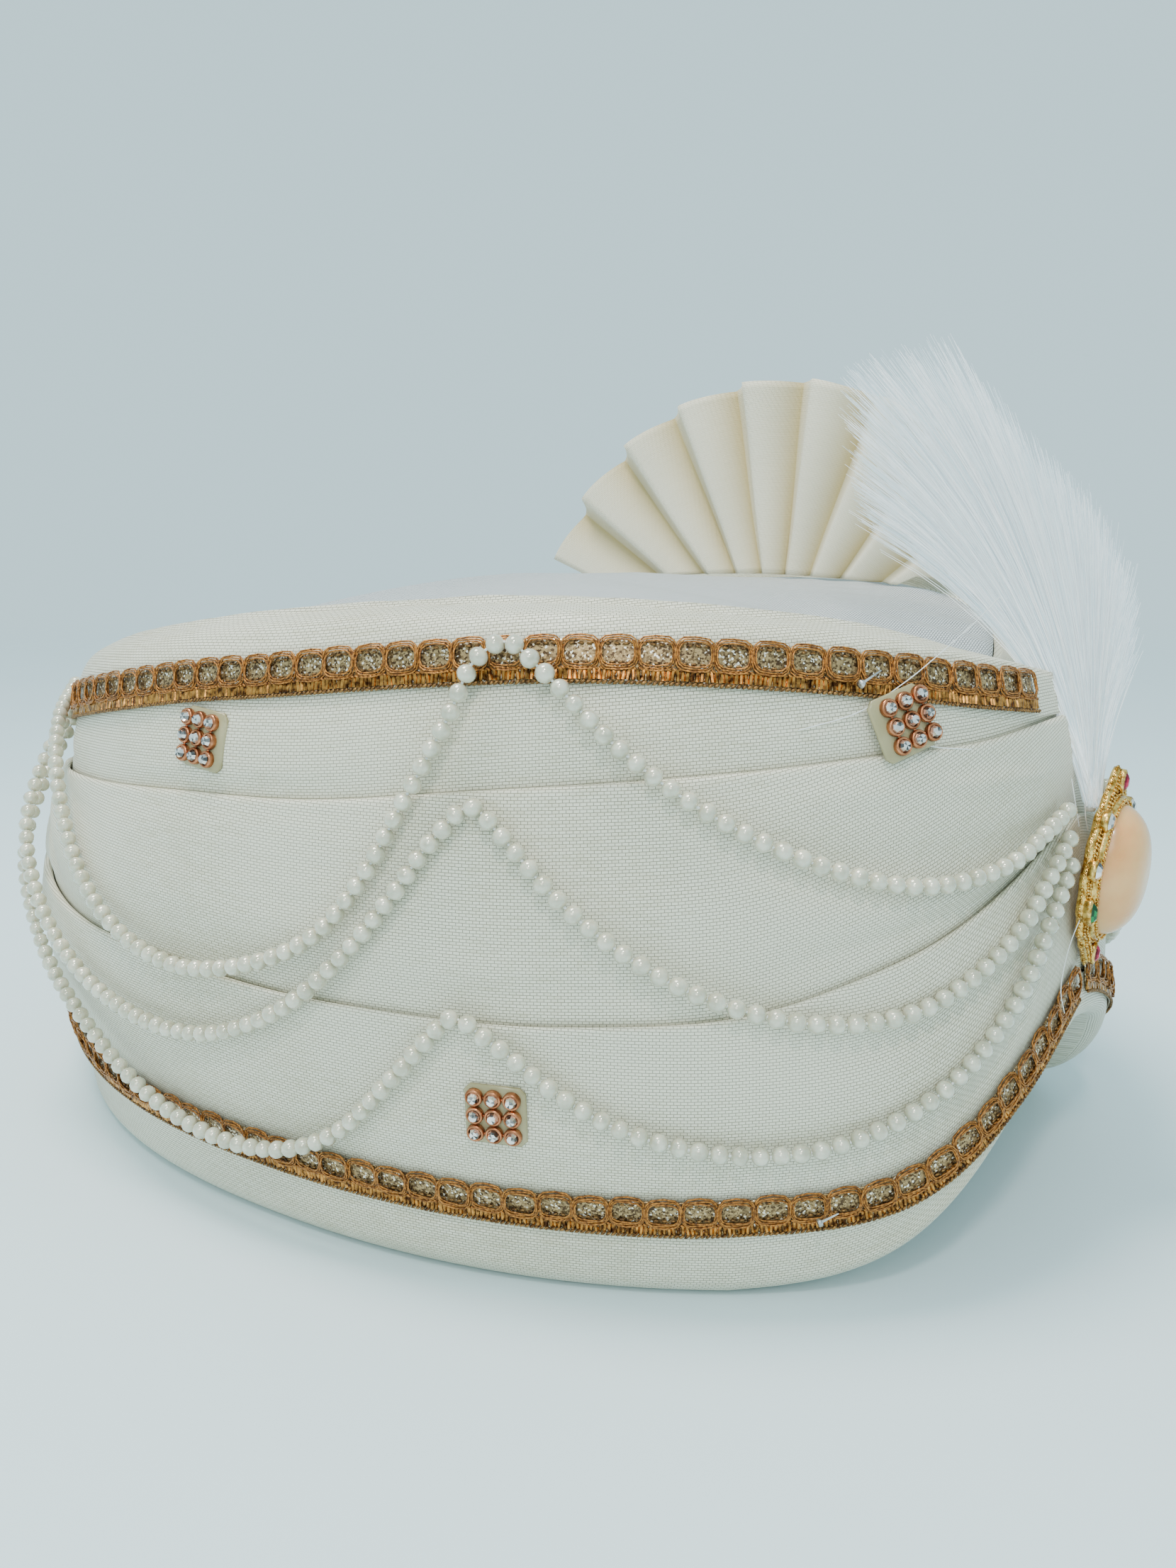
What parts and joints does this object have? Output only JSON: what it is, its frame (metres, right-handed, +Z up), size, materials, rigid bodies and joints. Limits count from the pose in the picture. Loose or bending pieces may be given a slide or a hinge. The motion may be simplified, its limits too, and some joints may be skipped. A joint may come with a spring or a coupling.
{
  "type": "groom's turban",
  "caption": "Ready-made satin turban with wound bands over a cap, braided gold laces, pearl swags, rhinestone squares, a brooch with a plume and a pleated fan; rests on its hem.",
  "frame": {"origin": "on the table, under the middle of the turban's box", "axes": "+Z up, -Y towards the brooch at the front, +X to the wearer's left"},
  "size_m": [0.2476, 0.3075, 0.1962],
  "materials": {
    "satin": "ivory satin with a fine crosswise rib and a soft sheen",
    "crown_satin": "the same satin in one thin layer, looser and greyer",
    "fan_cloth": "starched cream cloth in pressed pleats",
    "gold_braid": "metallic orange-gold braid loops over glitter ribbon",
    "pearl": "pearl lustre",
    "rhinestone": "rose gold cups with clear cut crystals on a clear glue patch",
    "gold": "polished granulated gold with small set stones",
    "peach_stone": "polished peach cabochon",
    "plume_hair": "fine white glossy hairs"
  },
  "bodies": {
    "root": {"crown": "crown_satin", "hem_band": "satin", "wrap_lower": "satin", "wrap_middle": "satin", "wrap_upper": "satin", "lace_top": "gold_braid", "lace_bottom": "gold_braid", "pearls_right_upper": "pearl", "pearls_right_middle": "pearl", "pearls_right_lower": "pearl", "pearls_left_upper": "pearl", "pearls_left_middle": "pearl", "pearls_left_lower": "pearl", "stones_right_front": "rhinestone", "stones_right_back": "rhinestone", "stones_right_low": "rhinestone", "stones_left_front": "rhinestone", "stones_left_back": "rhinestone", "stones_left_low": "rhinestone", "brooch_frame": "gold", "brooch_stone": "peach_stone", "plume": "plume_hair", "fan": "fan_cloth"}
  },
  "joints": []
}
